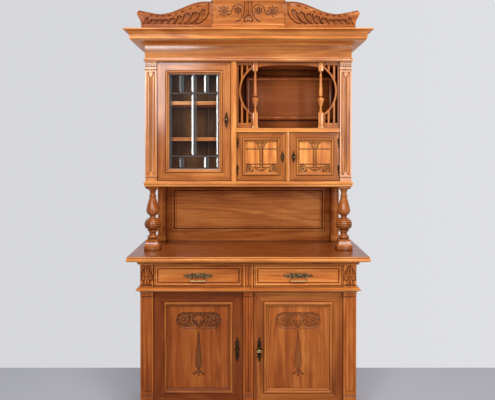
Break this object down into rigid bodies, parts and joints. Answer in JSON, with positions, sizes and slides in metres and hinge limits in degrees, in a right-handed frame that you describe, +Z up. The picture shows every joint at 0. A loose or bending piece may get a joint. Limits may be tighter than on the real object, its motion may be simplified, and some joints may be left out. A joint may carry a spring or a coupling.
{
  "type": "buffet cabinet",
  "caption": "Walnut dining buffet: cupboard with drawers, open gallery on turned columns, and an upper cabinet with a leaded glass door, niche, small doors and carved crest.",
  "frame": {"origin": "on the floor, below the middle of the buffet top", "axes": "+Z up, the doors face -Y, +X to the right seen from the front"},
  "size_m": [1.367, 0.54, 2.359],
  "materials": {
    "walnut": "semi-gloss polish",
    "walnut_panel": "semi-gloss polish",
    "inner_pine": "bare, aged",
    "bronze": "dark patina",
    "brass": "aged",
    "lead": "dull grey",
    "glass": "clear, bevelled"
  },
  "bodies": {
    "case": {"plinth": "walnut", "lower_side_left": "walnut", "lower_side_right": "walnut", "lower_back": "inner_pine", "lower_floor": "inner_pine", "lower_shelf": "inner_pine", "drawer_deck": "inner_pine", "waist_moulding": "walnut", "front_post_left": "walnut", "front_post_centre": "walnut", "front_post_right": "walnut", "buffet_top": "walnut", "gallery_back": "walnut", "gallery_column_left": "walnut", "gallery_column_right": "walnut", "hutch_floor": "walnut", "hutch_side_left": "walnut", "hutch_side_right": "walnut", "hutch_back": "inner_pine", "partition": "walnut", "niche_floor": "walnut", "small_door_mullion": "walnut", "glass_door_shelf_lower": "inner_pine", "glass_door_shelf_upper": "inner_pine", "hutch_pilaster_left": "walnut", "hutch_pilaster_right": "walnut", "niche_fret_left": "walnut", "niche_fret_right": "walnut", "niche_valance": "walnut", "niche_spindle_left": "walnut", "niche_spindle_right": "walnut", "frieze": "walnut", "cornice": "walnut", "crest_tablet": "walnut", "crest_wing_left": "walnut", "crest_wing_right": "walnut", "small_left_hinge_lower": "bronze", "small_left_hinge_upper": "bronze", "small_right_hinge_lower": "bronze", "small_right_hinge_upper": "bronze"},
    "glass_door": {"glass_door_frame": "walnut", "glass_pane": "glass", "came_lattice": "lead"},
    "small_left_door": {"small_left_frame": "walnut", "small_left_panel": "walnut_panel"},
    "small_right_door": {"small_right_frame": "walnut", "small_right_panel": "walnut_panel"},
    "lower_left_door": {"lower_left_frame": "walnut", "lower_left_panel": "walnut_panel"},
    "lower_right_door": {"lower_right_frame": "walnut", "lower_right_panel": "walnut_panel"},
    "left_drawer": {"left_drawer": "walnut", "left_pull_plate": "bronze"},
    "right_drawer": {"right_drawer": "walnut", "right_pull_plate": "bronze"},
    "left_bail": {"left_bail": "brass"},
    "right_bail": {"right_bail": "brass"},
    "glass_door_key": {"glass_door_key": "brass"},
    "small_door_key": {"small_door_key": "brass"},
    "lower_key": {"lower_key": "brass"}
  },
  "joints": [
    {"name": "glass_door_hinge", "type": "hinge", "parent": "case", "child": "glass_door", "pos_m": [-0.504, -0.075, 1.67], "axis": [0, 0, -1], "range_deg": [0, 95]},
    {"name": "small_left_hinge", "type": "hinge", "parent": "case", "child": "small_left_door", "pos_m": [-0.0624, -0.084, 1.48], "axis": [0, 0, -1], "range_deg": [0, 95]},
    {"name": "small_right_hinge", "type": "hinge", "parent": "case", "child": "small_right_door", "pos_m": [0.511, -0.084, 1.48], "axis": [0, 0, 1], "range_deg": [0, 95]},
    {"name": "lower_left_hinge", "type": "hinge", "parent": "case", "child": "lower_left_door", "pos_m": [-0.504, -0.205, 0.44], "axis": [0, 0, -1], "range_deg": [0, 95]},
    {"name": "lower_right_hinge", "type": "hinge", "parent": "case", "child": "lower_right_door", "pos_m": [0.504, -0.205, 0.44], "axis": [0, 0, 1], "range_deg": [0, 95]},
    {"name": "left_drawer_slide", "type": "slide", "parent": "case", "child": "left_drawer", "axis": [0, -1, 0], "range_m": [0, 0.3]},
    {"name": "right_drawer_slide", "type": "slide", "parent": "case", "child": "right_drawer", "axis": [0, -1, 0], "range_m": [0, 0.3]},
    {"name": "left_bail_swing", "type": "hinge", "parent": "left_drawer", "child": "left_bail", "pos_m": [-0.271, -0.2201, 0.8354], "axis": [-1, 0, 0], "range_deg": [0, 90]},
    {"name": "right_bail_swing", "type": "hinge", "parent": "right_drawer", "child": "right_bail", "pos_m": [0.271, -0.2201, 0.8354], "axis": [-1, 0, 0], "range_deg": [0, 90]},
    {"name": "glass_door_key_turn", "type": "hinge", "parent": "glass_door", "child": "glass_door_key", "pos_m": [-0.1234, -0.08, 1.6855], "axis": [0, 1, 0], "range_deg": [0, 180]},
    {"name": "small_door_key_turn", "type": "hinge", "parent": "small_right_door", "child": "small_door_key", "pos_m": [0.2553, -0.08, 1.477], "axis": [0, 1, 0], "range_deg": [0, 180]},
    {"name": "lower_key_turn", "type": "hinge", "parent": "lower_right_door", "child": "lower_key", "pos_m": [0.06, -0.21, 0.433], "axis": [0, 1, 0], "range_deg": [0, 180]}
  ]
}
